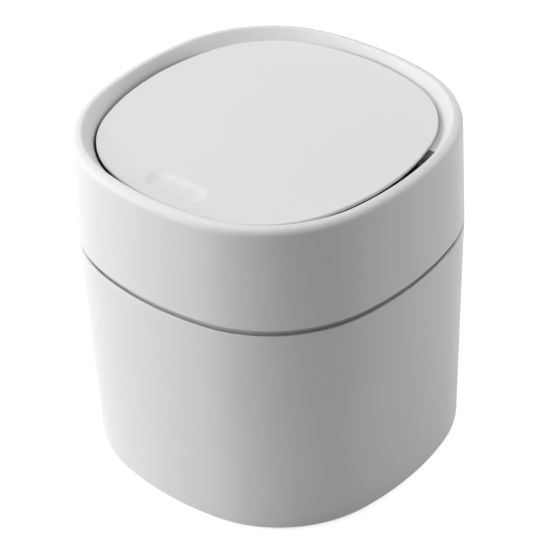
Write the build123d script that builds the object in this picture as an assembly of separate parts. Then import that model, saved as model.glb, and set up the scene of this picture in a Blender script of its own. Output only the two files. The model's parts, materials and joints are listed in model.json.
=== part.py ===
"""Push-top countertop bin.

A square-round bin with a lift-off lid. The lid is a hollow collar over an inner frame, and the
frame carries a swing flap on two short steel pins. Pushing the dimple swings the front of the
flap down into the bin, and two torsion springs bring it back until its rear edge lands on
the frame's ledge.

Millimetres. +Z is up, the dimple is at the front (-Y), and the origin is on the surface
that the bin stands on, under the middle of the bin.
"""
import os
from math import acos, atan2, cos, degrees, hypot, radians, sin, sqrt

from build123d import *

os.makedirs("parts", exist_ok=True)

# Plan outline: four large side arcs and four corner arcs, given at the rim of the body.
RIM_WIDTH = 160.0
SIDE_RADIUS = 142.0
CORNER_RADIUS = 62.0

# Body
FOOT_PROUD = 0.8
BODY_HEIGHT = 108.1
BASE_SETBACK = 2.0
BODY_WALL = 2.6
FLOOR_THICKNESS = 2.4
BASE_EDGE_RADIUS = 1.5
INNER_FLOOR_RADIUS = 7.0
BASE_RING_WIDTH = 7.0
BASE_RECESS_DEPTH = 1.0
RIM_WALL = 1.7
RIM_EDGE_RADIUS = 0.4
FOOT_DIAMETER = 14.0
FOOT_SETBACK = 32.0
FOOT_SOCKET_DEPTH = 0.6
FOOT_EDGE_RADIUS = 0.5

# Lid collar
SHADOW_GAP = 2.9
COLLAR_HEIGHT = 49.0
CREST_SETBACK = 1.4
COLLAR_WALL = 2.2
COLLAR_FOOT_RADIUS = 0.3
CREST_OUTER_RADIUS = 3.7
CREST_INNER_RADIUS = 1.0
CREST_THICKNESS = 2.6
CREST_LIP_DEPTH = 1.8
MOUTH_SETBACK = 5.9
OPENING_SETBACK = 8.4
OPENING_SIDE_RADIUS = 96.0
OPENING_CORNER_RADIUS = 53.0
SLOPE_DEPTH = 4.8
THROAT_WALL = 1.8
WEDGE_WALL = 1.4
THROAT_DEPTH = 13.8

# Lid frame
SPIGOT_DEPTH = 10.0
SPIGOT_CLEARANCE = 0.3
SPIGOT_WALL = 1.7
NEST_CLEARANCE = 0.15
DECK_THICKNESS = 2.0
LEDGE_CLEARANCE = 0.2
LEDGE_WALL = 1.6
LEDGE_WIDTH = 5.0
LEDGE_THICKNESS = 1.6
LEDGE_LEAD = 1.6
LUG_RADIUS = 4.2
STOP_REACH = 6.1
STOP_DROP = 0.5
REST_PAD_DIAMETER = 3.6
REST_PAD_PROUD = 0.4
REST_PAD_SOCKET = 0.5
REST_PAD_SPACING = 44.0

# Flap
FLAP_SIDE_GAP = 3.4
FLAP_END_GAP = 1.4
FLAP_SIDE_RADIUS = 102.0
FLAP_CORNER_RADIUS = 49.0
FLAP_RECESS = 3.6
FLAP_THICKNESS = 2.0
FLAP_EDGE_RADIUS = 0.6
DIMPLE_LENGTH = 30.0
DIMPLE_WIDTH = 12.0
DIMPLE_DEPTH = 1.1
DIMPLE_FROM_EDGE = 12.0
DIMPLE_SLOPE = 3.4
DIMPLE_SOFTNESS = 2.5
DIMPLE_WALL = 1.4

# Flap carrier
CARRIER_INSET = 11.5
CARRIER_DEPTH = 5.0
CARRIER_FLOOR = 1.5
CARRIER_WALL = 1.6
CARRIER_EDGE_RADIUS = 1.2
CARRIER_RIB = 1.2
CARRIER_RIB_SPACING = 26.0

# Pivot
PIVOT_BACK = 32.0
PIVOT_DROP = 5.7
HUB_LENGTH = 7.0
HUB_RADIUS = 4.2
SPRING_BAY = 7.3
LUG_SETBACK = 2.4
PIN_DIAMETER = 3.0
PIN_LENGTH = 17.2
PIN_CLEARANCE = 0.05
PIN_CHAMFER = 0.3
BUSHING_LENGTH = 3.2
BUSHING_WALL = 1.15

# Return springs
WIRE_DIAMETER = 0.9
COIL_RADIUS = 2.5
COIL_TURNS = 4
COIL_PITCH = 1.2
COIL_END_GAP = 1.1
FIXED_LEG_REACH = 7.0
MOVING_LEG_REACH = 10.0
MOVING_HOOK = 5.0
LEG_CLEARANCE = 0.05
HOOK_BEND_RADIUS = 1.0

# Screws
SCREW_SETBACK = 30.2
SCREW_FRONT_Y = -36.0
SCREW_REAR_Y = 14.0
SCREW_DIAMETER = 2.6
SCREW_HEAD_DIAMETER = 5.2
SCREW_HEAD_HEIGHT = 1.5
SCREW_ENGAGEMENT = 3.0
SCREW_HOLE_CLEARANCE = 0.3
SCREW_SLOT = 0.7
BOSS_DIAMETER = 6.4

# How close an edge lies to a level to be taken as on it, and how wide a measuring line is
LEVEL_TOLERANCE = 0.001
PROBE_WIDTH = 0.01

# Levels and insets that follow from the sizes above
BODY_BASE_Z = FOOT_PROUD
BODY_RIM_Z = BODY_BASE_Z + BODY_HEIGHT
COLLAR_Z = BODY_RIM_Z + SHADOW_GAP
TOP_Z = COLLAR_Z + COLLAR_HEIGHT
SHELF_Z = BODY_RIM_Z - SPIGOT_DEPTH
FLAP_TOP_Z = TOP_Z - FLAP_RECESS
FLAP_UNDER_Z = FLAP_TOP_Z - FLAP_THICKNESS
LEDGE_TOP_Z = FLAP_UNDER_Z - REST_PAD_PROUD
DECK_TOP_Z = TOP_Z - THROAT_DEPTH
DECK_Z = DECK_TOP_Z - DECK_THICKNESS
PIVOT_Z = FLAP_UNDER_Z - PIVOT_DROP
CARRIER_Z = FLAP_UNDER_Z - CARRIER_DEPTH
CARRIER_FLOOR_Z = CARRIER_Z + CARRIER_FLOOR

OPENING_HALF = RIM_WIDTH / 2 - OPENING_SETBACK
FLAP_HALF_X = OPENING_HALF - FLAP_SIDE_GAP
FLAP_HALF_Y = OPENING_HALF - FLAP_END_GAP
SPIGOT_INSET = RIM_WALL + SPIGOT_CLEARANCE
LEDGE_EDGE_INSET = LEDGE_CLEARANCE + LEDGE_WIDTH
PIN_RADIUS = PIN_DIAMETER / 2
WIRE_RADIUS = WIRE_DIAMETER / 2
BUSHING_BORE = PIN_RADIUS + PIN_CLEARANCE
BUSHING_RADIUS = BUSHING_BORE + BUSHING_WALL


def squircle(half_x, half_y, side_radius, corner_radius):
    """Face of eight tangent arcs that touches x = half_x and y = half_y."""
    p = side_radius - half_x
    q = side_radius - half_y
    reach = side_radius - corner_radius
    # The corner centre lies at the same distance from all the side centres beside it.
    slope = p / q
    shift = (p * p - q * q) / (2 * q)
    a = 1 + slope * slope
    b = 2 * p + 2 * slope * shift
    c = p * p + shift * shift - reach * reach
    kx = (-b + sqrt(b * b - 4 * a * c)) / (2 * a)
    ky = slope * kx + shift
    low = degrees(atan2(ky, kx + p))
    high = degrees(atan2(ky + q, kx))
    turn = high - low
    gap = 180 - 2 * high
    arcs = [
        CenterArc((-p, 0), side_radius, -low, 2 * low),
        CenterArc((kx, ky), corner_radius, low, turn),
        CenterArc((0, -q), side_radius, high, gap),
        CenterArc((-kx, ky), corner_radius, 180 - high, turn),
        CenterArc((p, 0), side_radius, 180 - low, 2 * low),
        CenterArc((-kx, -ky), corner_radius, 180 + low, turn),
        CenterArc((0, q), side_radius, 180 + high, gap),
        CenterArc((kx, -ky), corner_radius, 360 - high, turn),
    ]
    return make_face(arcs)


def outline(inset):
    """Plan outline of the bin, moved inwards by inset."""
    half = RIM_WIDTH / 2 - inset
    return squircle(half, half, SIDE_RADIUS - inset, CORNER_RADIUS - inset)


def opening_outline(inset=0.0):
    """Plan outline of the lid's opening at the foot of its slope, moved inwards by inset."""
    half = OPENING_HALF - inset
    return squircle(half, half, OPENING_SIDE_RADIUS - inset, OPENING_CORNER_RADIUS - inset)


def flap_outline(inset=0.0):
    """Plan outline of the flap, moved inwards by inset."""
    half_x = FLAP_HALF_X - inset
    half_y = FLAP_HALF_Y - inset
    return squircle(half_x, half_y, FLAP_SIDE_RADIUS - inset, FLAP_CORNER_RADIUS - inset)


def prism(face, z_low, z_high):
    """Straight solid on a plan face, between two levels."""
    return extrude(Pos(0, 0, z_low) * face, amount=z_high - z_low)


def frustum(inset_low, z_low, inset_high, z_high):
    """Solid between two levels whose outline inset changes evenly with height."""
    height = z_high - z_low
    draft = degrees(atan2(abs(inset_high - inset_low), height))
    if draft == 0:
        return prism(outline(inset_low), z_low, z_high)
    if inset_high > inset_low:
        return extrude(Pos(0, 0, z_low) * outline(inset_low), amount=height, taper=draft)
    return extrude(Pos(0, 0, z_high) * outline(inset_high), amount=-height, taper=draft)


def funnel(face_low, z_low, face_high, z_high):
    """Straight-sided solid that runs from one plan face to another."""
    return loft([Pos(0, 0, z_low) * face_low, Pos(0, 0, z_high) * face_high], ruled=True)


def edge_y(face, x):
    """Where the rear edge of a plan face stands at x."""
    probe = Pos(x, RIM_WIDTH / 2, 0) * Box(PROBE_WIDTH, RIM_WIDTH, 1)
    return (prism(face, 0, 1) & probe).bounding_box().max.Y


def edge_x(face, y):
    """Where the right edge of a plan face stands at y."""
    probe = Pos(RIM_WIDTH / 2, y, 0) * Box(RIM_WIDTH, PROBE_WIDTH, 1)
    return (prism(face, 0, 1) & probe).bounding_box().max.X


def edges_at(solid, z):
    """Edges of a solid that lie flat at one level."""
    return solid.edges().filter_by_position(Axis.Z, z - LEVEL_TOLERANCE, z + LEVEL_TOLERANCE)


def top_rims(solid):
    """Outer and inner edges of the ring-shaped face on top of a solid."""
    ring = solid.faces().sort_by(Axis.Z)[-1]
    return ring.outer_wire().edges(), ring.inner_wires()[0].edges()


def along_x(radius, x_low, x_high, y, z):
    """Cylinder along X."""
    middle = (x_low + x_high) / 2
    return Pos(middle, y, z) * Rot(0, 90, 0) * Cylinder(radius, x_high - x_low)


def standing(radius, height):
    """Upright cylinder whose lower end is at the origin."""
    return Cylinder(radius, height, align=(Align.CENTER, Align.CENTER, Align.MIN))


def mirrored(solid):
    """The same piece on the other side of the bin."""
    return mirror(solid, about=Plane.YZ)


def body_inset(z):
    """Inset of the body's outer face at a level."""
    return BASE_SETBACK * (BODY_RIM_Z - z) / BODY_HEIGHT


def collar_inset(z):
    """Inset of the collar's outer face at a level."""
    return CREST_SETBACK * (z - COLLAR_Z) / COLLAR_HEIGHT


def foot_places():
    """Names and centres of the four foot pads."""
    half = RIM_WIDTH / 2 - BASE_SETBACK - FOOT_SETBACK
    return {
        "front_left": (-half, -half),
        "front_right": (half, -half),
        "rear_left": (-half, half),
        "rear_right": (half, half),
    }


def make_body():
    """Tapered shell with a thin upper wall over a shelf that the lid stands on."""
    shell = frustum(BASE_SETBACK, BODY_BASE_Z, 0, BODY_RIM_Z)
    shell = fillet(edges_at(shell, BODY_BASE_Z), BASE_EDGE_RADIUS)
    floor_z = BODY_BASE_Z + BASE_RECESS_DEPTH + FLOOR_THICKNESS
    cavity = frustum(body_inset(floor_z) + BODY_WALL, floor_z, body_inset(SHELF_Z) + BODY_WALL, SHELF_Z)
    cavity = fillet(edges_at(cavity, floor_z), INNER_FLOOR_RADIUS)
    shell -= cavity
    shell -= frustum(body_inset(SHELF_Z) + RIM_WALL, SHELF_Z, RIM_WALL, BODY_RIM_Z)
    shell = fillet(edges_at(shell, BODY_RIM_Z), RIM_EDGE_RADIUS)
    recess_z = BODY_BASE_Z + BASE_RECESS_DEPTH
    shell -= prism(outline(BASE_SETBACK + BASE_RING_WIDTH), BODY_BASE_Z, recess_z)
    for x, y in foot_places().values():
        shell -= Pos(x, y, recess_z) * standing(FOOT_DIAMETER / 2, FOOT_SOCKET_DEPTH)
    return shell


def make_foot():
    """Round pad that fills its socket and stands proud of the base ring."""
    height = FOOT_PROUD + BASE_RECESS_DEPTH + FOOT_SOCKET_DEPTH
    pad = standing(FOOT_DIAMETER / 2, height)
    return fillet(edges_at(pad, 0), FOOT_EDGE_RADIUS)


def make_collar():
    """Hollow moulding: outer wall, rounded crest, inner slope and throat wall, open below."""
    slope_z = TOP_Z - SLOPE_DEPTH
    lip_z = TOP_Z - CREST_LIP_DEPTH
    slope_run = (OPENING_SETBACK - MOUTH_SETBACK) / SLOPE_DEPTH
    lip_inset = MOUTH_SETBACK + slope_run * CREST_LIP_DEPTH
    crest = frustum(0, COLLAR_Z, CREST_SETBACK, TOP_Z)
    crest -= prism(opening_outline(), COLLAR_Z, slope_z)
    crest -= funnel(opening_outline(), slope_z, outline(lip_inset), lip_z)
    crest -= frustum(lip_inset, lip_z, MOUTH_SETBACK, TOP_Z)
    outer_rim, inner_rim = top_rims(crest)
    crest = crest.fillet(CREST_INNER_RADIUS, inner_rim)
    outer_rim, inner_rim = top_rims(crest)
    crest = crest.fillet(CREST_OUTER_RADIUS, outer_rim)
    foot = crest.faces().sort_by(Axis.Z)[0]
    crest = crest.fillet(COLLAR_FOOT_RADIUS, foot.outer_wire().edges())
    # The hollow narrows to a wedge behind the slope, so that the walls stay even.
    hollow_top = TOP_Z - CREST_THICKNESS
    wedge_z = slope_z - THROAT_WALL
    wedge_inset = MOUTH_SETBACK - WEDGE_WALL
    hollow = frustum(COLLAR_WALL, COLLAR_Z, collar_inset(hollow_top) + COLLAR_WALL, hollow_top)
    hollow -= prism(opening_outline(-THROAT_WALL), DECK_TOP_Z, wedge_z)
    hollow -= funnel(opening_outline(-THROAT_WALL), wedge_z, outline(wedge_inset), hollow_top)
    crest -= hollow
    return crest


def nest_inset(z):
    """Inset of the frame's outer face where it nests inside the collar's wall."""
    return collar_inset(z) + COLLAR_WALL + NEST_CLEARANCE


def lug_x():
    """Inner face of the right lug, set in from the opening's edge beside the spring's leg."""
    return edge_x(opening_outline(), PIVOT_BACK + FIXED_LEG_REACH) - LUG_SETBACK


def hub_x():
    """Inner end of the carrier's right hub, with the coil between the hub and the lug."""
    return lug_x() - SPRING_BAY - HUB_LENGTH


def make_lug():
    """Bearing lug beside the flap, with a shoulder in front that stops the open flap."""
    inner_x = lug_x()
    outer_x = RIM_WIDTH / 2
    middle_x = (inner_x + outer_x) / 2
    width = outer_x - inner_x
    post_height = PIVOT_Z - DECK_Z
    post = Pos(middle_x, PIVOT_BACK, DECK_Z + post_height / 2) * Box(width, 2 * LUG_RADIUS, post_height)
    stop_height = post_height - STOP_DROP
    stop = Pos(middle_x, PIVOT_BACK - STOP_REACH / 2, DECK_Z + stop_height / 2)
    stop *= Box(width, STOP_REACH, stop_height)
    room = prism(opening_outline(LEDGE_CLEARANCE), DECK_TOP_Z, TOP_Z)
    room += prism(opening_outline(), DECK_Z, DECK_TOP_Z)
    boss = along_x(LUG_RADIUS, inner_x, outer_x, PIVOT_BACK, PIVOT_Z)
    return (post + stop + boss) & room


def make_ledge():
    """Wall and inward flange round the rear of the opening, from just ahead of the pivot."""
    under_z = LEDGE_TOP_Z - LEDGE_THICKNESS
    ledge = prism(opening_outline(LEDGE_CLEARANCE), DECK_TOP_Z, LEDGE_TOP_Z)
    ledge += prism(opening_outline(), DECK_Z, DECK_TOP_Z)
    ledge -= prism(opening_outline(LEDGE_CLEARANCE + LEDGE_WALL), DECK_Z, under_z)
    ledge -= prism(opening_outline(LEDGE_EDGE_INSET), under_z, LEDGE_TOP_Z)
    front = PIVOT_BACK - LEDGE_LEAD
    rear_half = Pos(0, front + RIM_WIDTH / 2, TOP_Z / 2) * Box(RIM_WIDTH, RIM_WIDTH, 2 * TOP_Z)
    return ledge & rear_half


def rest_pad_places():
    """Centres of the two rest pads, midway between the ledge's edge and the flap's edge."""
    x = REST_PAD_SPACING / 2
    y = (edge_y(opening_outline(LEDGE_EDGE_INSET), x) + edge_y(flap_outline(), x)) / 2
    return {"left": (-x, y), "right": (x, y)}


def make_frame():
    """Spigot, nested wall, deck, rest ledge round the rear half and two pivot lugs."""
    spigot = frustum(body_inset(SHELF_Z) + SPIGOT_INSET, SHELF_Z, SPIGOT_INSET, BODY_RIM_Z)
    spigot += prism(outline(SPIGOT_INSET), BODY_RIM_Z, COLLAR_Z)
    spigot_core = SPIGOT_INSET + SPIGOT_WALL
    spigot -= prism(outline(spigot_core), SHELF_Z, COLLAR_Z)
    nested = frustum(nest_inset(COLLAR_Z), COLLAR_Z, nest_inset(DECK_TOP_Z), DECK_TOP_Z)
    nested -= frustum(spigot_core, COLLAR_Z, nest_inset(DECK_TOP_Z) + SPIGOT_WALL, DECK_Z)
    nested -= prism(opening_outline(), DECK_Z, DECK_TOP_Z)
    frame = spigot + nested + make_ledge()
    lug = make_lug()
    bore = along_x(BUSHING_RADIUS, hub_x(), lug_x() + BUSHING_LENGTH, PIVOT_BACK, PIVOT_Z)
    frame += lug
    frame += mirrored(lug)
    frame -= bore
    frame -= mirrored(bore)
    for x, y in rest_pad_places().values():
        socket_z = LEDGE_TOP_Z - REST_PAD_SOCKET
        frame -= Pos(x, y, socket_z) * standing(REST_PAD_DIAMETER / 2, TOP_Z - socket_z)
    return frame


def make_rest_pad():
    """Soft stud that the rear of the flap lands on."""
    pad = standing(REST_PAD_DIAMETER / 2, REST_PAD_SOCKET + REST_PAD_PROUD)
    return Pos(0, 0, LEDGE_TOP_Z - REST_PAD_SOCKET) * pad


def make_bushing():
    """Plain bearing in the right lug."""
    start = lug_x()
    end = start + BUSHING_LENGTH
    sleeve = along_x(BUSHING_RADIUS, start, end, PIVOT_BACK, PIVOT_Z)
    return sleeve - along_x(BUSHING_BORE, start, end, PIVOT_BACK, PIVOT_Z)


def make_pin():
    """Steel pivot pin, pressed into the right hub of the carrier."""
    start = hub_x()
    pin = along_x(PIN_RADIUS, start, start + PIN_LENGTH, PIVOT_BACK, PIVOT_Z)
    return chamfer(pin.edges().filter_by(GeomType.CIRCLE), PIN_CHAMFER)


def pill(length, width, z_low, z_high):
    """Upright solid with two straight sides and two round ends."""
    return extrude(Pos(0, 0, z_low) * SlotOverall(length, width), amount=z_high - z_low)


def screw_places():
    """Centres of the four screws that hold the carrier to the cover."""
    x = FLAP_HALF_X - SCREW_SETBACK
    return [(side * x, y) for side in (-1, 1) for y in (SCREW_FRONT_Y, SCREW_REAR_Y)]


def dimple_y():
    """Middle of the dimple, set in from the flap's front edge."""
    return DIMPLE_FROM_EDGE - FLAP_HALF_Y


def make_cover():
    """Thin flat top of the flap with a finger dimple and four screw bosses below."""
    cover = prism(flap_outline(), FLAP_UNDER_Z, FLAP_TOP_Z)
    cover = fillet(edges_at(cover, FLAP_TOP_Z), FLAP_EDGE_RADIUS)
    dimple_z = FLAP_TOP_Z - DIMPLE_DEPTH
    back = pill(DIMPLE_LENGTH + 2 * DIMPLE_WALL, DIMPLE_WIDTH + 2 * DIMPLE_WALL,
                dimple_z - DIMPLE_WALL, FLAP_UNDER_Z)
    cover += Pos(0, dimple_y(), 0) * back
    floor = SlotOverall(DIMPLE_LENGTH - 2 * DIMPLE_SLOPE, DIMPLE_WIDTH - 2 * DIMPLE_SLOPE)
    hollow = funnel(floor, dimple_z, SlotOverall(DIMPLE_LENGTH, DIMPLE_WIDTH), FLAP_TOP_Z)
    hollow = fillet(edges_at(hollow, dimple_z), DIMPLE_SOFTNESS)
    cover -= Pos(0, dimple_y(), 0) * hollow
    outer_rim, dimple_rim = top_rims(cover)
    cover = cover.fillet(DIMPLE_SOFTNESS, dimple_rim)
    for x, y in screw_places():
        boss = standing(BOSS_DIAMETER / 2, FLAP_UNDER_Z - CARRIER_FLOOR_Z)
        pilot = standing(SCREW_DIAMETER / 2, SCREW_ENGAGEMENT)
        cover += Pos(x, y, CARRIER_FLOOR_Z) * (boss - pilot)
    return cover


def make_carrier():
    """Ribbed tray under the cover with a hub for each pivot pin."""
    tray = prism(flap_outline(CARRIER_INSET), CARRIER_Z, FLAP_UNDER_Z)
    tray = fillet(edges_at(tray, CARRIER_Z), CARRIER_EDGE_RADIUS)
    hollow = prism(flap_outline(CARRIER_INSET + CARRIER_WALL), CARRIER_FLOOR_Z, FLAP_UNDER_Z)
    rib_z = (CARRIER_FLOOR_Z + FLAP_UNDER_Z) / 2
    rib_height = FLAP_UNDER_Z - CARRIER_FLOOR_Z
    for step in (-1, 0, 1):
        place = step * CARRIER_RIB_SPACING
        hollow -= Pos(place, 0, rib_z) * Box(CARRIER_RIB, RIM_WIDTH, rib_height)
        hollow -= Pos(0, place, rib_z) * Box(RIM_WIDTH, CARRIER_RIB, rib_height)
    hub_start = hub_x()
    hub_end = hub_start + HUB_LENGTH
    hub = along_x(HUB_RADIUS, hub_start, hub_end, PIVOT_BACK, PIVOT_Z)
    bore = along_x(PIN_RADIUS, hub_start, hub_end, PIVOT_BACK, PIVOT_Z)
    for solid in (hub, mirrored(hub)):
        tray += solid
        hollow -= solid
    tray -= hollow
    for solid in (bore, mirrored(bore)):
        tray -= solid
    dimple_z = FLAP_TOP_Z - DIMPLE_DEPTH - DIMPLE_WALL
    gap = SCREW_HOLE_CLEARANCE
    notch = pill(DIMPLE_LENGTH + 2 * (DIMPLE_WALL + gap), DIMPLE_WIDTH + 2 * (DIMPLE_WALL + gap),
                 dimple_z - gap, FLAP_UNDER_Z)
    tray -= Pos(0, dimple_y(), 0) * notch
    for x, y in screw_places():
        hole = standing(SCREW_DIAMETER / 2 + SCREW_HOLE_CLEARANCE, CARRIER_FLOOR)
        tray -= Pos(x, y, CARRIER_Z) * hole
    return tray


def make_screws():
    """Four pan-head screws, driven from below."""
    shank = standing(SCREW_DIAMETER / 2, CARRIER_FLOOR + SCREW_ENGAGEMENT)
    head = Pos(0, 0, -SCREW_HEAD_HEIGHT) * standing(SCREW_HEAD_DIAMETER / 2, SCREW_HEAD_HEIGHT)
    head = fillet(edges_at(head, -SCREW_HEAD_HEIGHT), SCREW_HEAD_HEIGHT / 2)
    slot_z = -SCREW_HEAD_HEIGHT
    arm = Pos(0, 0, slot_z) * Box(SCREW_HEAD_DIAMETER / 2, SCREW_SLOT, SCREW_HEAD_HEIGHT)
    screw = shank + head - arm - Rot(0, 0, 90) * arm
    return Compound([Pos(x, y, CARRIER_Z) * screw for x, y in screw_places()])


def strand(path):
    """Round spring wire along a path."""
    return sweep(Plane(path @ 0, z_dir=path % 0) * Circle(WIRE_RADIUS), path=path)


def leg_angle(back, up, side):
    """Angle round the coil at which a straight leg to a point beside it leaves."""
    return degrees(atan2(up, back)) + side * degrees(acos(COIL_RADIUS / hypot(back, up)))


def make_spring():
    """Right torsion spring: one leg hooks under the carrier, the other lies under the ledge.

    Opening the flap winds the coil up.
    """
    hook_z = CARRIER_Z - WIRE_RADIUS - LEG_CLEARANCE
    rest_z = LEDGE_TOP_Z - LEDGE_THICKNESS - WIRE_RADIUS - LEG_CLEARANCE
    start_angle = leg_angle(-MOVING_LEG_REACH, hook_z - PIVOT_Z, -1)
    end_angle = leg_angle(FIXED_LEG_REACH, rest_z - PIVOT_Z, 1)
    turns = COIL_TURNS + (start_angle - end_angle) / 360
    start_x = hub_x() + HUB_LENGTH + COIL_END_GAP
    facing = (0, cos(radians(start_angle)), sin(radians(start_angle)))
    place = Plane(origin=(start_x, PIVOT_BACK, PIVOT_Z), x_dir=facing, z_dir=(1, 0, 0))
    helix = place * Helix(COIL_PITCH, turns * COIL_PITCH, COIL_RADIUS, lefthand=True)
    coil = sweep(Plane(helix @ 0, z_dir=helix % 0) * Circle(WIRE_RADIUS), path=helix, is_frenet=True)
    # Both legs run straight on from the ends of the coil.
    start, end = helix @ 0, helix @ 1
    moving_length = (start.Y - PIVOT_BACK + MOVING_LEG_REACH) / (helix % 0).Y
    corner = start - (helix % 0) * moving_length
    tip = corner - Vector(MOVING_HOOK, 0, 0)
    moving_leg = strand(FilletPolyline(start, corner, tip, radius=HOOK_BEND_RADIUS))
    fixed_length = (PIVOT_BACK + FIXED_LEG_REACH - end.Y) / (helix % 1).Y
    fixed_leg = strand(Line(end, end + (helix % 1) * fixed_length))
    return coil + moving_leg + fixed_leg


def make_parts():
    """Every piece of the bin under the name of its node."""
    parts = {
        "bin_body": make_body(),
        "lid_collar": make_collar(),
        "lid_frame": make_frame(),
        "flap_cover": make_cover(),
        "flap_carrier": make_carrier(),
        "flap_screws": make_screws(),
    }
    for name, (x, y) in foot_places().items():
        parts["foot_pad_" + name] = Pos(x, y, 0) * make_foot()
    for name, (x, y) in rest_pad_places().items():
        parts["rest_pad_" + name] = Pos(x, y, 0) * make_rest_pad()
    paired = {
        "pivot_bushing": make_bushing(),
        "pivot_pin": make_pin(),
        "return_spring": make_spring(),
    }
    for name, piece in paired.items():
        parts[name + "_right"] = piece
        parts[name + "_left"] = mirrored(piece)
    return parts


for node, piece in make_parts().items():
    export_step(piece, f"parts/{node}.step")
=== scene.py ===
"""Dress the packed push top countertop bin and set it in a soft light tent.

The file is laid out as an add-on: the sizes and finishes are properties, and each piece or
group of like pieces has an operator. Lengths are in metres, in the frame of the packed part:
+Z is up and the dimple side faces -Y.
"""

import json
from math import acos, atan2, cos, hypot, pi, radians, sin, sqrt, tan

import bpy
import numpy as np
from bpy.props import FloatProperty, FloatVectorProperty, IntProperty, PointerProperty
from mathutils import Matrix, Vector


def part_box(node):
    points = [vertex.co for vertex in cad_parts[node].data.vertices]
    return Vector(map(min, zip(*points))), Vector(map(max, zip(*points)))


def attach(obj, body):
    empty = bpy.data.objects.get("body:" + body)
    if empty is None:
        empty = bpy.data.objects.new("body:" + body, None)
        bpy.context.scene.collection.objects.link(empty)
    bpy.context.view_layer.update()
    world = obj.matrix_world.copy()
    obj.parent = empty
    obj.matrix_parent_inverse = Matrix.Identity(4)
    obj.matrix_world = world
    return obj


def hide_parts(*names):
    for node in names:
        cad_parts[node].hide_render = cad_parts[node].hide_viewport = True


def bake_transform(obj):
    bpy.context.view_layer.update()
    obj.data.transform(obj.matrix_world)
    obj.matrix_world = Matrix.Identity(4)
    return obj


bl_info = {
    "name": "Push top countertop bin",
    "version": (1, 0, 0),
    "blender": (4, 5, 0),
    "location": "View3D > Sidebar > Bin",
    "description": "Builds the surfaces, finishes and light tent of a push top countertop bin",
    "category": "Object",
}

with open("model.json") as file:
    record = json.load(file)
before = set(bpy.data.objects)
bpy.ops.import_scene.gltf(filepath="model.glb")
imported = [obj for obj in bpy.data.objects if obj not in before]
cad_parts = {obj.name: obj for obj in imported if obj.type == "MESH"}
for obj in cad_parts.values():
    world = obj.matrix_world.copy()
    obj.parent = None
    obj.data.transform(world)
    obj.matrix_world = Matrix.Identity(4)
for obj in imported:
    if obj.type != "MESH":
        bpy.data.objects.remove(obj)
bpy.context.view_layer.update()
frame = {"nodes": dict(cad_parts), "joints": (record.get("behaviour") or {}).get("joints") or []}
NODES = frame["nodes"]
SWING = next(joint for joint in frame["joints"] if joint["name"] == "flap_swing")
AXIS_Y, AXIS_Z = SWING["pos_m"][1:]

COLLAR_LOW, COLLAR_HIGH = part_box("lid_collar")
BODY_LOW, BODY_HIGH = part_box("bin_body")
FLAP_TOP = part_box("flap_cover")[1].z

# Points along each of the eight arcs of an outline, and steps round each small radius
ARC_STEPS = 28
ROUND_STEPS = 6

# Points round the flap's rings, and rings down the dimple's soft side
FLAP_RAYS = 900
DIMPLE_STEPS = 20

# Points in a turn of the spring's coil and round its hook's bend, and points round its wire
COIL_STEPS = 48
BEND_STEPS = 8
WIRE_SIDES = 12

# The wire's domed ends: their height in wire radii, and how far up it each of their rings lies
DOME_HEIGHT = 0.45
DOME_RINGS = (0.0, 0.5, 0.87, 0.98)

# How fine the cloud in the plastic is, and the lines along and across the drawn steel
CLOUD_SCALE = 28
STEEL_LINES = (300, 6000, 6000)

# Lamp panels: bearing from the camera and height above the horizon in degrees, width, and the
# setting that holds the power
LAMPS = (
    ("left_panel", -82, 20, 1.2, "left_power"),
    ("right_panel", 84, 20, 1.1, "right_power"),
    ("high_left_panel", -100, 65, 0.8, "high_left_power"),
    ("rear_right_panel", 110, 45, 0.8, "rear_right_power"),
)

# Their distance from the point that they are turned to, its height, and the panels' own height
LAMP_DISTANCE = 1.1
LAMP_AIM = 0.08
PANEL_HEIGHT = 0.7

# Half the floor's width, the camera's sensor in millimetres, and how close it still sees
FLOOR_REACH = 3.0
SENSOR_WIDTH = 36
CLIP_START = 0.05


def length(name, description, default):
    """A size that the sidebar shows in the scene's length unit."""
    return FloatProperty(
        name=name, description=description, default=default, unit="LENGTH", precision=4
    )


def factor(name, description, default):
    """A share from nothing to all."""
    return FloatProperty(
        name=name, description=description, default=default, min=0, max=1, subtype="FACTOR"
    )


def power(name, description, default):
    """The power of a lamp."""
    return FloatProperty(name=name, description=description, default=default, min=0, unit="POWER")


def colour(name, description, default):
    """A colour that the sidebar shows as a swatch."""
    return FloatVectorProperty(
        name=name, description=description, default=default, size=3, min=0, max=1, subtype="COLOR"
    )


class OutlineSizes(bpy.types.PropertyGroup):
    """Plan outlines: four large side arcs and four corner arcs each."""

    width: length("Width", "Width of the bin over its bowed sides", 0.160)
    side_radius: length("Side radius", "Radius of the bowed sides", 0.142)
    corner_radius: length("Corner radius", "Radius of the corners", 0.062)
    opening_width: length("Opening width", "Width of the lid's opening", 0.1427)
    opening_side_radius: length("Opening side radius", "Radius of the opening's sides", 0.093)
    opening_corner_radius: length("Opening corner radius", "Radius of its corners", 0.057)
    flap_width: length("Flap width", "Width of the flap", 0.1364)
    flap_depth: length("Flap depth", "Depth of the flap, front to back", 0.1404)
    flap_side_radius: length("Flap side radius", "Radius of the flap's sides", 0.102)
    flap_corner_radius: length("Flap corner radius", "Radius of the flap's corners", 0.049)


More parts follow.
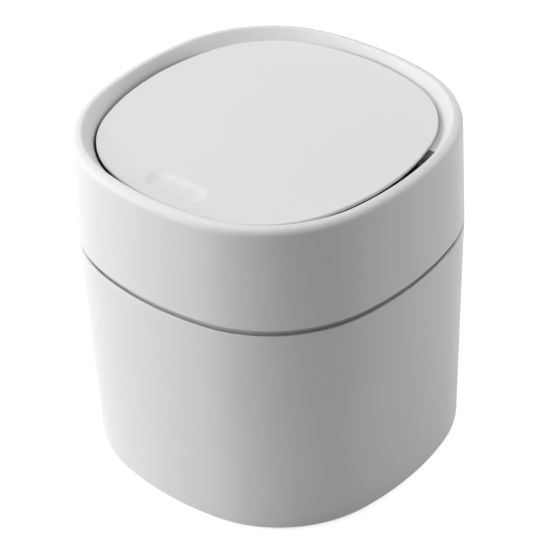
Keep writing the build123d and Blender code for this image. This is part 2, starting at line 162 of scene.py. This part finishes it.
class BodySizes(bpy.types.PropertyGroup):
    """The open pail."""

    taper: length("Taper", "How far the base is set in from the rim on each side", 0.002)
    wall: length("Wall", "Thickness of the main wall", 0.0026)
    rim_wall: length("Rim wall", "Thickness of the wall round the lid's spigot", 0.0017)
    rim_depth: length("Rim depth", "Depth of the thin wall down to the shelf", 0.010)
    rim_radius: length("Rim radius", "Rounding of the rim's outer edge", 0.0005)
    lead_radius: length("Lead-in radius", "Rounding that leads the lid into the rim", 0.0011)
    shelf_radius: length("Shelf radius", "Rounding of the shelf's inner edge", 0.0003)
    base_radius: length("Base radius", "Rounding under the wall", 0.0015)
    floor_radius: length("Floor radius", "Rounding between wall and floor inside", 0.007)
    floor_height: length("Floor height", "Inner floor above the base ring", 0.0034)
    ring_width: length("Base ring width", "Width of the ring under the wall", 0.007)
    recess: length("Base recess", "Depth of the recess inside the base ring", 0.001)


class CollarSizes(bpy.types.PropertyGroup):
    """The raised ring of the lid."""

    taper: length("Taper", "How far the crest is set in from the foot on each side", 0.0014)
    wall: length("Wall", "Thickness of the outer wall", 0.0022)
    foot_radius: length("Foot radius", "Rounding of the lower edge", 0.0004)
    crest_radius: length("Crest radius", "Rounding of the crest's outer edge", 0.0037)
    lip_radius: length("Lip radius", "Rounding of the crest's inner edge", 0.0010)
    mouth_inset: length("Mouth inset", "Crest width from the rim to the slope", 0.0059)
    slope_depth: length("Slope depth", "Height of the slope inside the crest", 0.0060)
    slope_radius: length("Slope radius", "Rounding at the foot of the slope", 0.008)
    slope_wall: length("Slope wall", "From the mouth out to the top of the slope's back", 0.0014)
    throat_depth: length("Throat depth", "Depth of the throat below the crest", 0.0138)
    throat_wall: length("Throat wall", "Thickness of the throat wall", 0.0018)
    crest_thickness: length("Crest thickness", "Thickness under the crest", 0.0026)


class FlapSizes(bpy.types.PropertyGroup):
    """The flat panel and its finger dimple."""

    thickness: length("Thickness", "Thickness of the panel", 0.002)
    edge_radius: length("Edge radius", "Rounding of the upper edge", 0.0006)
    under_radius: length("Under radius", "Rounding of the lower edge", 0.0007)
    dimple_length: length("Dimple length", "Length of the dimple, side to side", 0.030)
    dimple_width: length("Dimple width", "Width of the dimple, front to back", 0.012)
    dimple_depth: length("Dimple depth", "Depth of the dimple", 0.0011)
    dimple_inset: length("Dimple inset", "Dimple's middle from the front edge", 0.012)
    dimple_slope: length("Dimple slope", "Width of the dimple's soft side", 0.0038)
    dimple_lead: length("Dimple lead", "How far outside its edge that side starts", 0.001)


class SpringSizes(bpy.types.PropertyGroup):
    """The two torsion return springs."""

    wire: length("Wire", "Diameter of the spring wire", 0.0009)
    coil_radius: length("Coil radius", "Radius of the coil's middle line", 0.0025)
    turns: IntProperty(name="Turns", description="Whole turns of the coil", default=4, min=1)
    pitch: length("Pitch", "Advance of the coil in one turn", 0.0012)
    start_x: length("Start", "Inner end of the coil from the middle of the bin", 0.0546)
    moving_reach: length("Moving leg", "Reach of the leg under the carrier", 0.010)
    moving_rise: length("Moving leg rise", "Height of its tip above the pivot", 0.0002)
    hook: length("Hook", "Length of the moving leg's hook", 0.005)
    hook_radius: length("Hook radius", "Bend of the hook", 0.001)
    fixed_reach: length("Fixed leg", "Reach of the leg under the ledge", 0.007)
    fixed_rise: length("Fixed leg rise", "Height of its tip above the pivot", 0.0032)


class Finishes(bpy.types.PropertyGroup):
    """Colours and surface grain."""

    shell: colour("Shell", "White plastic of body, collar and flap", (0.797, 0.796, 0.810))
    # The inner grey is the frame's own slightly greyer plastic, darkened further as painted shade
    # for the frame's band in the shadow gap under the collar.
    inner: colour("Inner", "Plastic of the lid frame and carrier", (0.60, 0.60, 0.61))
    pad: colour("Pad", "Soft pads under the bin and the flap", (0.42, 0.42, 0.43))
    bushing: colour("Bushing", "Bearing plastic", (0.70, 0.68, 0.60))
    steel: colour("Steel", "Pins, screws and springs", (0.55, 0.55, 0.56))
    shell_roughness: factor("Shell roughness", "Roughness of the white plastic", 0.42)
    shell_specular: factor("Shell specular", "Strength of the white plastic's sheen", 0.42)
    grain_size: length("Grain size", "Size of the moulded texture", 0.0004)
    grain_depth: length("Grain depth", "Depth of the moulded texture", 0.00001)


class TentSettings(bpy.types.PropertyGroup):
    """Camera and lamps."""

    azimuth: FloatProperty(
        name="Azimuth", description="Camera's direction round the bin", default=radians(41.90),
        subtype="ANGLE",
    )
    elevation: FloatProperty(
        name="Elevation", description="Camera's height above the horizon", default=radians(36.09),
        subtype="ANGLE",
    )
    roll: FloatProperty(
        name="Roll", description="Camera's turn about its own line of sight",
        default=radians(-2.42), subtype="ANGLE",
    )
    distance: length("Distance", "Camera to the point that it looks at", 0.9805)
    aim_height: length("Aim height", "Height of that point", 0.0785)
    sideways: length("Sideways", "Camera's shift to its right", 0.00049)
    lens: FloatProperty(
        name="Lens", description="Focal length on a 36 mm wide sensor, in millimetres",
        default=142.92, min=10,
    )
    left_power: power("Left panel", "Power of the wide panel on the left", 8.6)
    right_power: power("Right panel", "Power of the wide panel on the right", 1.6)
    high_left_power: power("High left panel", "Power of the high panel on the left", 6.2)
    rear_right_power: power("Rear right panel", "Power of the panel behind on the right", 4.3)
    room_light: FloatProperty(
        name="Room light", description="Strength of the even light from all round", default=0.02,
        min=0,
    )
    floor_colour: colour("Floor", "Colour of the floor", (0.60, 0.60, 0.60))
    floor_lift: factor("Floor lift", "White added where the camera sees the floor", 0.75)
    floor_near: length("Near floor", "How far from the bin the floor keeps that lift", 0.3)
    floor_far: length("Far floor", "Where the floor has faded to plain white", 1.2)


# Outlines ------------------------------------------------------------------------------------


def arc_outline(half_x, half_y, side_radius, corner_radius, steps=ARC_STEPS):
    """Points round a closed outline of eight tangent arcs."""
    p = side_radius - half_x
    q = side_radius - half_y
    reach = side_radius - corner_radius
    slope = p / q
    shift = (p * p - q * q) / (2 * q)
    a = 1 + slope * slope
    b = 2 * p + 2 * slope * shift
    c = p * p + shift * shift - reach * reach
    centre_x = (-b + sqrt(b * b - 4 * a * c)) / (2 * a)
    centre_y = slope * centre_x + shift
    low = atan2(centre_y, centre_x + p)
    high = atan2(centre_y + q, centre_x)
    turn = high - low
    arcs = [
        (-p, 0, side_radius, -low, 2 * low),
        (centre_x, centre_y, corner_radius, low, turn),
        (0, -q, side_radius, high, pi - 2 * high),
        (-centre_x, centre_y, corner_radius, pi - high, turn),
        (p, 0, side_radius, pi - low, 2 * low),
        (-centre_x, -centre_y, corner_radius, pi + low, turn),
        (0, q, side_radius, pi + high, pi - 2 * high),
        (centre_x, -centre_y, corner_radius, 2 * pi - high, turn),
    ]
    points = []
    for x, y, radius, start, sweep in arcs:
        angles = start + sweep * np.arange(steps) / steps
        points.append(np.stack([x + radius * np.cos(angles), y + radius * np.sin(angles)], 1))
    return np.concatenate(points)


def bin_outline(inset):
    """The bin's outline, moved inwards."""
    sizes = bpy.context.scene.bin_outline
    half = sizes.width / 2 - inset
    return arc_outline(half, half, sizes.side_radius - inset, sizes.corner_radius - inset)


def opening_outline(inset):
    """The lid opening's outline, with the inset counted from the bin's own width."""
    sizes = bpy.context.scene.bin_outline
    half = sizes.width / 2 - inset
    change = sizes.opening_width / 2 - half
    return arc_outline(
        half, half, sizes.opening_side_radius - change, sizes.opening_corner_radius - change
    )


def flap_outline(inset, steps=ARC_STEPS):
    """The flap's outline, moved inwards."""
    sizes = bpy.context.scene.bin_outline
    return arc_outline(
        sizes.flap_width / 2 - inset,
        sizes.flap_depth / 2 - inset,
        sizes.flap_side_radius - inset,
        sizes.flap_corner_radius - inset,
        steps,
    )


# Meshes --------------------------------------------------------------------------------------


def rounded(corners):
    """A line through (inset, height, radius) corners, with an arc at each that has a radius."""
    line = []
    count = len(corners)
    for i, (s, z, radius) in enumerate(corners):
        here = Vector((s, z))
        if radius == 0:
            line.append((s, z))
            continue
        before = (Vector(corners[i - 1][:2]) - here).normalized()
        after = (Vector(corners[(i + 1) % count][:2]) - here).normalized()
        half_angle = acos(max(-1, min(1, before.dot(after)))) / 2
        middle = here + (before + after).normalized() * radius / sin(half_angle)
        first = here + before * radius / tan(half_angle) - middle
        last = here + after * radius / tan(half_angle) - middle
        start = atan2(first.y, first.x)
        sweep = (atan2(last.y, last.x) - start + pi) % (2 * pi) - pi
        for step in range(ROUND_STEPS + 1):
            angle = start + sweep * step / ROUND_STEPS
            line.append((middle.x + radius * cos(angle), middle.y + radius * sin(angle)))
    return line


def add_piece(name, vertices, faces, body, slot_name, material, *stands_for):
    """A smooth mesh that rides on a body and stands for CAD nodes."""
    mesh = bpy.data.meshes.new(name)
    mesh.from_pydata([tuple(v) for v in vertices], [], faces)
    mesh.validate()
    mesh.polygons.foreach_set("use_smooth", [True] * len(mesh.polygons))
    piece = bpy.data.objects.new(name, mesh)
    bpy.context.scene.collection.objects.link(piece)
    piece.data.materials.append(material)
    weights = piece.modifiers.new("face weighted shading", "WEIGHTED_NORMAL")
    weights.weight = 100
    weights.keep_sharp = True
    if body:
        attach(piece, body)
    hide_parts(*stands_for)
    return piece


def ring_faces(rings, closed=False, capped=False):
    """Vertices and faces of equal rings joined in order, as a closed section or with flat caps."""
    count = len(rings[0])
    vertices = np.concatenate(rings)
    total = len(rings)
    faces = []
    for i in range(total if closed else total - 1):
        low = i * count
        high = (i + 1) % total * count
        for j in range(count):
            k = (j + 1) % count
            faces.append((low + j, low + k, high + k, high + j))
    if capped:
        faces.append(tuple(reversed(range(count))))
        faces.append(tuple(range((total - 1) * count, total * count)))
    return vertices, faces


def level(points, z):
    """Plan points at one height."""
    return np.column_stack([points, np.full(len(points), z)])


# Materials -----------------------------------------------------------------------------------


def new_material(name):
    """An empty node material with its shader."""
    material = bpy.data.materials.new(name)
    material.use_nodes = True
    tree = material.node_tree
    return material, tree, tree.nodes["Principled BSDF"]


def noise_texture(tree, vector, scale, detail):
    """A noise texture laid over the piece's own coordinates."""
    noise = tree.nodes.new("ShaderNodeTexNoise")
    noise.inputs["Scale"].default_value = scale
    noise.inputs["Detail"].default_value = detail
    tree.links.new(vector, noise.inputs["Vector"])
    return noise.outputs["Fac"]


def spread(tree, value, low, high):
    """A noise value stretched from low to high."""
    ramp = tree.nodes.new("ShaderNodeMapRange")
    ramp.inputs["To Min"].default_value = low
    ramp.inputs["To Max"].default_value = high
    tree.links.new(value, ramp.inputs["Value"])
    return ramp.outputs["Result"]


def vary_tint(tree, shader, tint, tone):
    """Make the colour lighter and darker by a tone value."""
    paint = tree.nodes.new("ShaderNodeVectorMath")
    paint.operation = "SCALE"
    paint.inputs[0].default_value = tint
    tree.links.new(tone, paint.inputs["Scale"])
    tree.links.new(paint.outputs["Vector"], shader.inputs["Base Color"])


def moulded(name, tint, roughness, grain_size, grain_depth, variation=0.012, specular=0.5):
    """Moulded plastic: a faint cloud in its colour and gloss and a fine spark-eroded grain."""
    material, tree, shader = new_material(name)
    place = tree.nodes.new("ShaderNodeTexCoord").outputs["Object"]
    cloud = noise_texture(tree, place, CLOUD_SCALE, detail=3)
    grain = noise_texture(tree, place, 1 / grain_size, detail=2)
    vary_tint(tree, shader, tint, spread(tree, cloud, 1 - variation, 1 + variation))
    gloss = spread(tree, cloud, roughness - 0.04, roughness + 0.04)
    tree.links.new(gloss, shader.inputs["Roughness"])
    bump = tree.nodes.new("ShaderNodeBump")
    bump.inputs["Distance"].default_value = grain_depth
    bump.inputs["Strength"].default_value = 1
    tree.links.new(grain, bump.inputs["Height"])
    tree.links.new(bump.outputs["Normal"], shader.inputs["Normal"])
    shader.inputs["Specular IOR Level"].default_value = specular
    return material


def drawn_steel(name, tint, roughness):
    """Bright drawn steel with fine lines along X."""
    material, tree, shader = new_material(name)
    place = tree.nodes.new("ShaderNodeTexCoord").outputs["Object"]
    stretch = tree.nodes.new("ShaderNodeMapping")
    stretch.inputs["Scale"].default_value = STEEL_LINES
    tree.links.new(place, stretch.inputs["Vector"])
    lines = noise_texture(tree, stretch.outputs["Vector"], 1, detail=3)
    vary_tint(tree, shader, tint, spread(tree, lines, 0.9, 1.08))
    gloss = spread(tree, lines, roughness - 0.08, roughness + 0.1)
    tree.links.new(gloss, shader.inputs["Roughness"])
    shader.inputs["Metallic"].default_value = 1
    return material


def shell_material():
    """The white plastic that body, collar and flap share."""
    known = bpy.data.materials.get("white_moulded_plastic")
    if known:
        return known
    look = bpy.context.scene.bin_finishes
    return moulded(
        "white_moulded_plastic", look.shell, look.shell_roughness, look.grain_size, look.grain_depth,
        specular=look.shell_specular,
    )


def finish_nodes(names, material):
    """Give CAD nodes a material and its slot."""
    for name in names:
        node = NODES[name]
        node.data.materials.clear()
        node.data.materials.append(material)


# Pieces --------------------------------------------------------------------------------------


class BIN_OT_body(bpy.types.Operator):
    """Build the open pail as one smooth shell"""

    bl_idname = "bin.body"
    bl_label = "Body"

    def execute(self, context):
        sizes = context.scene.bin_body
        low, high = BODY_LOW.z, BODY_HIGH.z

        def skin(z):
            return sizes.taper * (high - z) / (high - low)

        shelf = high - sizes.rim_depth
        floor = low + sizes.floor_height
        ring_inner = sizes.taper + sizes.ring_width
        # The flat faces of the recess and the floor each reach in to a ring that a cap closes.
        recess_cap = ring_inner + 0.02
        floor_cap = skin(floor) + sizes.wall + 0.03
        profile = rounded(
            [
                (recess_cap, low + sizes.recess, 0),
                (ring_inner, low + sizes.recess, 0),
                (ring_inner, low, 0),
                (sizes.taper, low, sizes.base_radius),
                (0, high, sizes.rim_radius),
                (sizes.rim_wall, high, sizes.lead_radius),
                (skin(shelf) + sizes.rim_wall, shelf, 0),
                (skin(shelf) + sizes.wall, shelf, sizes.shelf_radius),
                (skin(floor) + sizes.wall, floor, sizes.floor_radius),
                (floor_cap, floor, 0),
            ]
        )
        rings = [level(bin_outline(s), z) for s, z in profile]
        vertices, faces = ring_faces(rings, capped=True)
        add_piece(
            "body_shell", vertices, faces, "bin", "white_plastic", shell_material(), "bin_body"
        )
        return {"FINISHED"}


class BIN_OT_collar(bpy.types.Operator):
    """Build the lid's raised ring: outer wall, crest, slope and throat"""

    bl_idname = "bin.collar"
    bl_label = "Collar"

    def execute(self, context):
        sizes = context.scene.bin_collar
        outline = context.scene.bin_outline
        low, high = COLLAR_LOW.z, COLLAR_HIGH.z
        opening = (outline.width - outline.opening_width) / 2
        throat_back = opening - sizes.throat_wall
        throat_foot = high - sizes.throat_depth
        slope_foot = high - sizes.slope_depth
        under_crest = high - sizes.crest_thickness
        slope_back = sizes.mouth_inset - sizes.slope_wall
        profile = rounded(
            [
                (0, low, sizes.foot_radius),
                (sizes.taper, high, sizes.crest_radius),
                (sizes.mouth_inset, high, sizes.lip_radius),
                (opening, slope_foot, sizes.slope_radius),
                (opening, throat_foot, sizes.foot_radius),
                (throat_back, throat_foot, 0),
                (throat_back, slope_foot - sizes.throat_wall, 0),
                (slope_back, under_crest, 0),
                (sizes.taper + sizes.wall, under_crest, 0),
                (sizes.wall, low, 0),
            ]
        )
        inner_side = (sizes.mouth_inset + sizes.taper) / 2
        lip = high - sizes.lip_radius
        rings = []
        for s, z in profile:
            share = 0.0
            if s > inner_side:
                share = max(0.0, min(1.0, (lip - z) / (lip - slope_foot)))
            plan = (1 - share) * bin_outline(s) + share * opening_outline(s)
            rings.append(level(plan, z))
        vertices, faces = ring_faces(rings, closed=True)
        add_piece(
            "collar_ring", vertices, faces, "lid", "white_plastic", shell_material(), "lid_collar"
        )
        return {"FINISHED"}


def seen_from(points, centre, angles):
    """Distances from a centre to a closed outline round it, along the given directions."""
    away = points - centre
    bearing = np.arctan2(away[:, 1], away[:, 0])
    distance = np.hypot(away[:, 0], away[:, 1])
    order = np.argsort(bearing)
    return np.interp(angles, bearing[order], distance[order], period=2 * pi)


def dimple_reach(half_straight, radius, angles):
    """Distances from the middle of a round-ended slot to its edge."""
    across = np.abs(np.cos(angles))
    up = np.maximum(np.abs(np.sin(angles)), 1e-9)
    straight = radius / up
    root = np.sqrt(np.maximum(radius**2 - (half_straight * up) ** 2, 0))
    return np.where(straight * across <= half_straight, straight, half_straight * across + root)


class BIN_OT_flap(bpy.types.Operator):
    """Build the flat panel with its soft finger dimple"""

    bl_idname = "bin.flap"
    bl_label = "Flap"

    def execute(self, context):
        sizes = context.scene.bin_flap
        outline = context.scene.bin_outline
        under = FLAP_TOP - sizes.thickness
        centre = np.array([0.0, sizes.dimple_inset - outline.flap_depth / 2])
        angles = np.linspace(-pi, pi, FLAP_RAYS, endpoint=False)
        rays = np.stack([np.cos(angles), np.sin(angles)], 1)
        # The first and last ring of the edge lie this far in, on the flat faces.
        edge_band = 0.004
        edge = rounded(
            [
                (edge_band, under, 0),
                (0, under, sizes.under_radius),
                (0, FLAP_TOP, sizes.edge_radius),
                (edge_band, FLAP_TOP, 0),
            ]
        )
        rings = []
        for s, z in edge:
            reach = seen_from(flap_outline(s, 4 * ARC_STEPS), centre, angles)
            rings.append(level(centre + rays * reach[:, None], z))
        half_width = sizes.dimple_width / 2
        half_straight = (sizes.dimple_length - sizes.dimple_width) / 2
        lead = sizes.dimple_lead
        for step in range(DIMPLE_STEPS + 1):
            inwards = -lead + (sizes.dimple_slope + lead) * step / DIMPLE_STEPS
            share = step / DIMPLE_STEPS
            drop = sizes.dimple_depth * share**2 * (3 - 2 * share)
            reach = dimple_reach(half_straight, half_width - inwards, angles)
            rings.append(level(centre + rays * reach[:, None], FLAP_TOP - drop))
        # A last ring this far inside the soft side keeps the dimple's floor flat.
        floor_band = 0.0008
        floor_width = half_width - sizes.dimple_slope - floor_band
        reach = dimple_reach(half_straight, floor_width, angles)
        rings.append(level(centre + rays * reach[:, None], FLAP_TOP - sizes.dimple_depth))
        vertices, faces = ring_faces(rings, capped=True)
        add_piece(
            "flap_panel", vertices, faces, "flap", "white_plastic", shell_material(), "flap_cover"
        )
        return {"FINISHED"}


def leg_angle(back, up, side, radius):
    """Angle round the coil at which a straight leg to a point beside it leaves."""
    return atan2(up, back) + side * acos(radius / hypot(back, up))


def spring_line(sizes):
    """Middle line of the right spring, from the hook's tip to the end of the fixed leg."""
    start_angle = leg_angle(-sizes.moving_reach, sizes.moving_rise, -1, sizes.coil_radius)
    end_angle = leg_angle(sizes.fixed_reach, sizes.fixed_rise, 1, sizes.coil_radius)
    sweep = 2 * pi * sizes.turns + start_angle - end_angle
    steps = COIL_STEPS * sizes.turns
    share = np.arange(steps + 1) / steps
    turned = start_angle - sweep * share
    coil = np.stack(
        [
            sizes.start_x + sizes.pitch * sweep / (2 * pi) * share,
            AXIS_Y + sizes.coil_radius * np.cos(turned),
            AXIS_Z + sizes.coil_radius * np.sin(turned),
        ],
        1,
    )
    heading_in = coil[0] - coil[1]
    heading_in /= np.linalg.norm(heading_in)
    heading_out = coil[-1] - coil[-2]
    heading_out /= np.linalg.norm(heading_out)
    reach_in = (coil[0][1] - AXIS_Y + sizes.moving_reach) / -heading_in[1]
    corner = coil[0] + heading_in * reach_in
    bend = []
    hook = np.array([-1.0, 0.0, 0.0])
    for step in range(BEND_STEPS + 1):
        angle = pi / 2 * step / BEND_STEPS
        bend.append(
            corner
            - heading_in * sizes.hook_radius * (1 - sin(angle))
            + hook * sizes.hook_radius * (1 - cos(angle))
        )
    tip = corner + hook * sizes.hook
    reach_out = (AXIS_Y + sizes.fixed_reach - coil[-1][1]) / heading_out[1]
    far = coil[-1] + heading_out * reach_out
    legs_in = [tip] + bend[::-1]
    straight_in = [legs_in[-1] + (coil[0] - legs_in[-1]) * t for t in (0.25, 0.5, 0.75)]
    straight_out = [coil[-1] + (far - coil[-1]) * t for t in (0.25, 0.5, 0.75, 1.0)]
    return np.array(legs_in + straight_in + list(coil) + straight_out)


def wire_mesh(line, radius):
    """Rings of a round wire that follows a line, with domed ends."""
    tangents = np.gradient(line, axis=0)
    tangents /= np.linalg.norm(tangents, axis=1)[:, None]
    across = np.cross(tangents[0], [0.0, 0.0, 1.0])
    across /= np.linalg.norm(across)
    turns = 2 * pi * np.arange(WIRE_SIDES) / WIRE_SIDES
    rings = []
    for i, (point, heading) in enumerate(zip(line, tangents)):
        across = across - heading * across.dot(heading)
        across /= np.linalg.norm(across)
        up = np.cross(heading, across)
        ends = [(0.0, 1.0)]
        if i in (0, len(line) - 1):
            height = radius * DOME_HEIGHT * (-1 if i == 0 else 1)
            ends = [(height * t, sqrt(1 - t * t)) for t in DOME_RINGS]
            ends = ends[::-1] if i == 0 else ends
        for along, share in ends:
            offset = np.outer(np.cos(turns), across) + np.outer(np.sin(turns), up)
            rings.append(point + heading * along + offset * radius * share)
    return ring_faces(rings, capped=True)


class BIN_OT_springs(bpy.types.Operator):
    """Build both return springs, coiled round the flap's pivot"""

    bl_idname = "bin.springs"
    bl_label = "Return springs"

    def execute(self, context):
        sizes = context.scene.bin_spring
        look = context.scene.bin_finishes
        darker = tuple(0.8 * part for part in look.steel)
        material = drawn_steel("spring_steel", darker, roughness=0.3)
        line = spring_line(sizes)
        for side, name in ((1, "right"), (-1, "left")):
            vertices, faces = wire_mesh(line * [side, 1, 1], sizes.wire / 2)
            piece = add_piece(
                f"torsion_spring_{name}", vertices, faces, None, "spring_steel", material,
                f"return_spring_{name}",
            )
            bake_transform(piece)
        return {"FINISHED"}


class BIN_OT_fittings(bpy.types.Operator):
    """Finish the frame, carrier, pads, bushings, pins and screws"""

    bl_idname = "bin.fittings"
    bl_label = "Inner parts"

    def execute(self, context):
        look = context.scene.bin_finishes
        # Painted shade: the frame and carrier take the darker inner grey, which darkens the frame's
        # band seen in the gap under the collar.
        inner = moulded(
            "inner_moulded_plastic", look.inner, roughness=0.5, grain_size=look.grain_size * 1.4,
            grain_depth=look.grain_depth * 1.5, variation=0.018,
        )
        pad = moulded(
            "soft_pad", look.pad, roughness=0.62, grain_size=0.0003, grain_depth=0.00002,
            variation=0.05, specular=0.35,
        )
        bushing = moulded(
            "bearing_plastic", look.bushing, roughness=0.3, grain_size=0.0006,
            grain_depth=0.000004, variation=0.03,
        )
        steel = drawn_steel("pin_steel", look.steel, roughness=0.26)
        feet = [name for name in NODES if name.startswith("foot_pad")]
        rests = [name for name in NODES if name.startswith("rest_pad")]
        bushings = [name for name in NODES if name.startswith("pivot_bushing")]
        pins = [name for name in NODES if name.startswith("pivot_pin")]
        finish_nodes(["lid_frame", "flap_carrier"], inner)
        finish_nodes(feet + rests, pad)
        finish_nodes(bushings, bushing)
        finish_nodes(pins + ["flap_screws"], steel)
        return {"FINISHED"}


def camera_axes(tent):
    """Backward, right and up directions of the camera."""
    flat = cos(tent.elevation)
    back = Vector((sin(tent.azimuth) * flat, -cos(tent.azimuth) * flat, sin(tent.elevation)))
    right = Vector((cos(tent.azimuth), sin(tent.azimuth), 0))
    up = right.cross(-back)
    turn = tent.roll
    return back, right * cos(turn) + up * sin(turn), up * cos(turn) - right * sin(turn)


def add_lamp(name, bearing, height, width, strength):
    """A lamp panel turned to the bin, placed by its bearing from the camera and its height."""
    turn = bpy.context.scene.bin_tent.azimuth + radians(bearing)
    flat = cos(radians(height))
    away = Vector((sin(turn) * flat, -cos(turn) * flat, sin(radians(height))))
    data = bpy.data.lights.new(name, "AREA")
    data.shape = "RECTANGLE"
    data.size = width
    data.size_y = PANEL_HEIGHT
    data.energy = strength
    lamp = bpy.data.objects.new(name, data)
    lamp.location = Vector((0, 0, LAMP_AIM)) + LAMP_DISTANCE * away
    lamp.rotation_euler = (-away).to_track_quat("-Z", "Y").to_euler()
    bpy.context.scene.collection.objects.link(lamp)


def seen_directly(tree):
    """A value that is one for rays from the camera, from mirrors and through clear things."""
    path = tree.nodes.new("ShaderNodeLightPath")
    value = path.outputs["Is Camera Ray"]
    for name in ("Is Glossy Ray", "Is Transmission Ray"):
        either = tree.nodes.new("ShaderNodeMath")
        either.operation = "MAXIMUM"
        tree.links.new(value, either.inputs[0])
        tree.links.new(path.outputs[name], either.inputs[1])
        value = either.outputs["Value"]
    return value


def light_room(tent):
    """Even light from all round, and plain white where the camera sees past the floor."""
    world = bpy.data.worlds.new("tent_light")
    bpy.context.scene.world = world
    world.use_nodes = True
    tree = world.node_tree
    room = tree.nodes["Background"]
    room.inputs["Color"].default_value = (1, 1, 1, 1)
    room.inputs["Strength"].default_value = tent.room_light
    white = tree.nodes.new("ShaderNodeBackground")
    white.inputs["Color"].default_value = (1, 1, 1, 1)
    mix = tree.nodes.new("ShaderNodeMixShader")
    tree.links.new(seen_directly(tree), mix.inputs["Fac"])
    tree.links.new(room.outputs["Background"], mix.inputs[1])
    tree.links.new(white.outputs["Background"], mix.inputs[2])
    tree.links.new(mix.outputs["Shader"], tree.nodes["World Output"].inputs["Surface"])


def floor_material(tent):
    """A floor that looks white, still darkens under the bin and sends little light back up."""
    material, tree, shader = new_material("tent_floor")
    shader.inputs["Base Color"].default_value = (*tent.floor_colour, 1)
    shader.inputs["Roughness"].default_value = 0.9
    shader.inputs["Emission Color"].default_value = (1, 1, 1, 1)
    place = tree.nodes.new("ShaderNodeTexCoord")
    away = tree.nodes.new("ShaderNodeVectorMath")
    away.operation = "LENGTH"
    white_far_off = tree.nodes.new("ShaderNodeMapRange")
    white_far_off.inputs["From Min"].default_value = tent.floor_near
    white_far_off.inputs["From Max"].default_value = tent.floor_far
    white_far_off.inputs["To Min"].default_value = tent.floor_lift
    white_far_off.inputs["To Max"].default_value = 1
    lift = tree.nodes.new("ShaderNodeMath")
    lift.operation = "MULTIPLY"
    tree.links.new(place.outputs["Object"], away.inputs[0])
    tree.links.new(away.outputs["Value"], white_far_off.inputs["Value"])
    tree.links.new(seen_directly(tree), lift.inputs[0])
    tree.links.new(white_far_off.outputs["Result"], lift.inputs[1])
    tree.links.new(lift.outputs["Value"], shader.inputs["Emission Strength"])
    return material


def lay_floor(tent):
    """The floor that the bin stands on."""
    far = FLOOR_REACH
    mesh = bpy.data.meshes.new("tent_floor")
    corners = [(-far, -far, 0), (far, -far, 0), (far, far, 0), (-far, far, 0)]
    mesh.from_pydata(corners, [], [(0, 1, 2, 3)])
    floor = bpy.data.objects.new("tent_floor", mesh)
    bpy.context.scene.collection.objects.link(floor)
    mesh.materials.append(floor_material(tent))


def place_camera(tent):
    """The camera, turned to a point above the middle of the bin's base."""
    data = bpy.data.cameras.new("tent_camera")
    data.lens = tent.lens
    data.sensor_width = SENSOR_WIDTH
    data.clip_start = CLIP_START
    camera = bpy.data.objects.new("tent_camera", data)
    bpy.context.scene.collection.objects.link(camera)
    back, right, up = camera_axes(tent)
    target = Vector((0, 0, tent.aim_height))
    spot = target + back * tent.distance + right * tent.sideways
    turn = Matrix((right, up, back)).transposed().to_4x4()
    camera.matrix_world = Matrix.Translation(spot) @ turn
    bpy.context.scene.camera = camera


class BIN_OT_tent(bpy.types.Operator):
    """Set up the floor, the light tent and the camera"""

    bl_idname = "bin.tent"
    bl_label = "Light tent"

    def execute(self, context):
        tent = context.scene.bin_tent
        light_room(tent)
        lay_floor(tent)
        for name, bearing, height, width, setting in LAMPS:
            add_lamp(name, bearing, height, width, getattr(tent, setting))
        place_camera(tent)
        context.scene.view_settings.view_transform = "Standard"
        return {"FINISHED"}


class BIN_PT_panel(bpy.types.Panel):
    """Lists the bin's operators and sizes"""

    bl_idname = "BIN_PT_panel"
    bl_label = "Push top bin"
    bl_space_type = "VIEW_3D"
    bl_region_type = "UI"
    bl_category = "Bin"

    def draw(self, context):
        column = self.layout.column(align=True)
        for operator in OPERATORS:
            column.operator(operator.bl_idname)
        for attribute, group in GROUPS.items():
            box = self.layout.box()
            box.label(text=group.__doc__)
            for name in group.__annotations__:
                box.prop(getattr(context.scene, attribute), name)


GROUPS = {
    "bin_outline": OutlineSizes,
    "bin_body": BodySizes,
    "bin_collar": CollarSizes,
    "bin_flap": FlapSizes,
    "bin_spring": SpringSizes,
    "bin_finishes": Finishes,
    "bin_tent": TentSettings,
}
OPERATORS = (
    BIN_OT_body,
    BIN_OT_collar,
    BIN_OT_flap,
    BIN_OT_springs,
    BIN_OT_fittings,
    BIN_OT_tent,
)


def register():
    """Make the sizes, operators and panel known."""
    for group in GROUPS.values():
        bpy.utils.register_class(group)
    for attribute, group in GROUPS.items():
        setattr(bpy.types.Scene, attribute, PointerProperty(type=group))
    for operator in OPERATORS:
        bpy.utils.register_class(operator)
    bpy.utils.register_class(BIN_PT_panel)


def unregister():
    """Take them away again."""
    bpy.utils.unregister_class(BIN_PT_panel)
    for operator in reversed(OPERATORS):
        bpy.utils.unregister_class(operator)
    for attribute in GROUPS:
        delattr(bpy.types.Scene, attribute)
    for group in reversed(GROUPS.values()):
        bpy.utils.unregister_class(group)


def main():
    """Build everything."""
    register()
    bpy.ops.bin.body()
    bpy.ops.bin.collar()
    bpy.ops.bin.flap()
    bpy.ops.bin.springs()
    bpy.ops.bin.fittings()
    bpy.ops.bin.tent()


if __name__ == "__main__":
    main()
